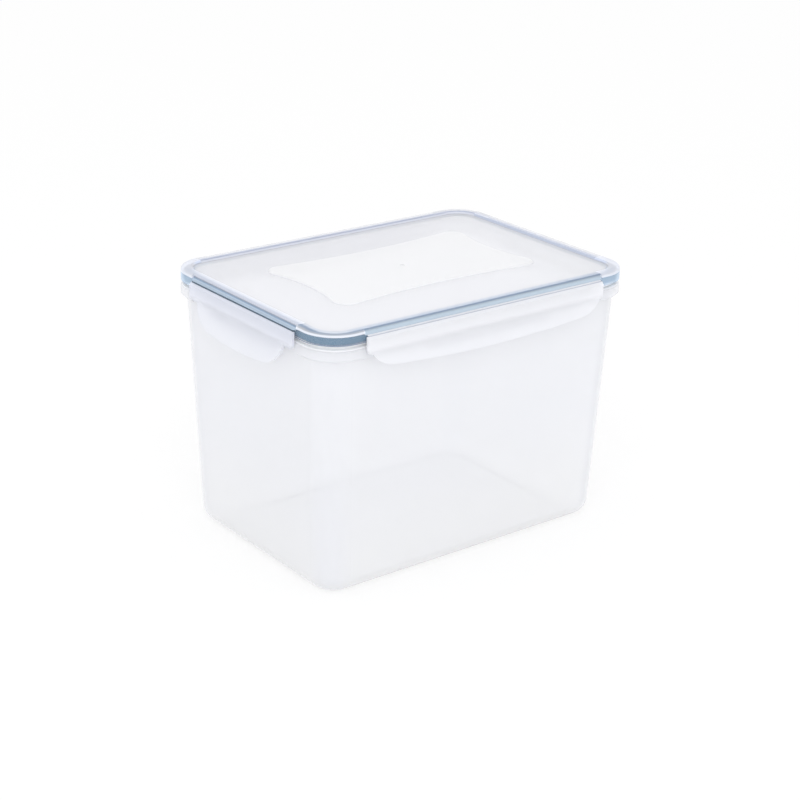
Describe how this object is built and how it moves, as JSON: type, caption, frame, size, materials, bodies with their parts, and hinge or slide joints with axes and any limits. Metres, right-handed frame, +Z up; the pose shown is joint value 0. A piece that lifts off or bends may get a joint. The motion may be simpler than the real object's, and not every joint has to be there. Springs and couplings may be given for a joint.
{
  "type": "food canister",
  "caption": "Tall translucent food canister: a drafted tub with rounded corners, a lift-off lid with a seal in its rim, and hinged side flaps that hook under the tub's collar.",
  "frame": {"origin": "middle of the foot of the tub, on the plane it stands on", "axes": "+X along the long side, +Y along the short side towards the back flap, +Z up"},
  "size_m": [0.251, 0.18, 0.1716],
  "materials": {
    "tub_plastic": "translucent natural polypropylene, smooth",
    "lid_plastic": "translucent natural polypropylene, smooth",
    "seal_silicone": "blue silicone, satin"
  },
  "bodies": {
    "tub_body": {"tub": "tub_plastic"},
    "lid_body": {"lid": "lid_plastic", "seal": "seal_silicone", "front_hinge_web": "lid_plastic", "back_hinge_web": "lid_plastic", "left_hinge_web": "lid_plastic", "right_hinge_web": "lid_plastic"},
    "front_flap_body": {"front_flap": "lid_plastic"},
    "back_flap_body": {"back_flap": "lid_plastic"},
    "left_flap_body": {"left_flap": "lid_plastic"},
    "right_flap_body": {"right_flap": "lid_plastic"}
  },
  "joints": [
    {"name": "lid_lift", "type": "slide", "parent": "tub_body", "child": "lid_body", "axis": [0, 0, 1], "range_m": [0, 0.12]},
    {"name": "front_flap_hinge", "type": "hinge", "parent": "lid_body", "child": "front_flap_body", "pos_m": [0, -0.08557, 0.16777], "axis": [-1, 0, 0], "range_deg": [-5, 160], "deforming": ["front_hinge_web"]},
    {"name": "back_flap_hinge", "type": "hinge", "parent": "lid_body", "child": "back_flap_body", "pos_m": [0, 0.08557, 0.16777], "axis": [1, 0, 0], "range_deg": [-5, 160], "deforming": ["back_hinge_web"]},
    {"name": "left_flap_hinge", "type": "hinge", "parent": "lid_body", "child": "left_flap_body", "pos_m": [-0.12057, 0, 0.16777], "axis": [0, 1, 0], "range_deg": [-5, 160], "deforming": ["left_hinge_web"]},
    {"name": "right_flap_hinge", "type": "hinge", "parent": "lid_body", "child": "right_flap_body", "pos_m": [0.12057, 0, 0.16777], "axis": [0, -1, 0], "range_deg": [-5, 160], "deforming": ["right_hinge_web"]}
  ]
}
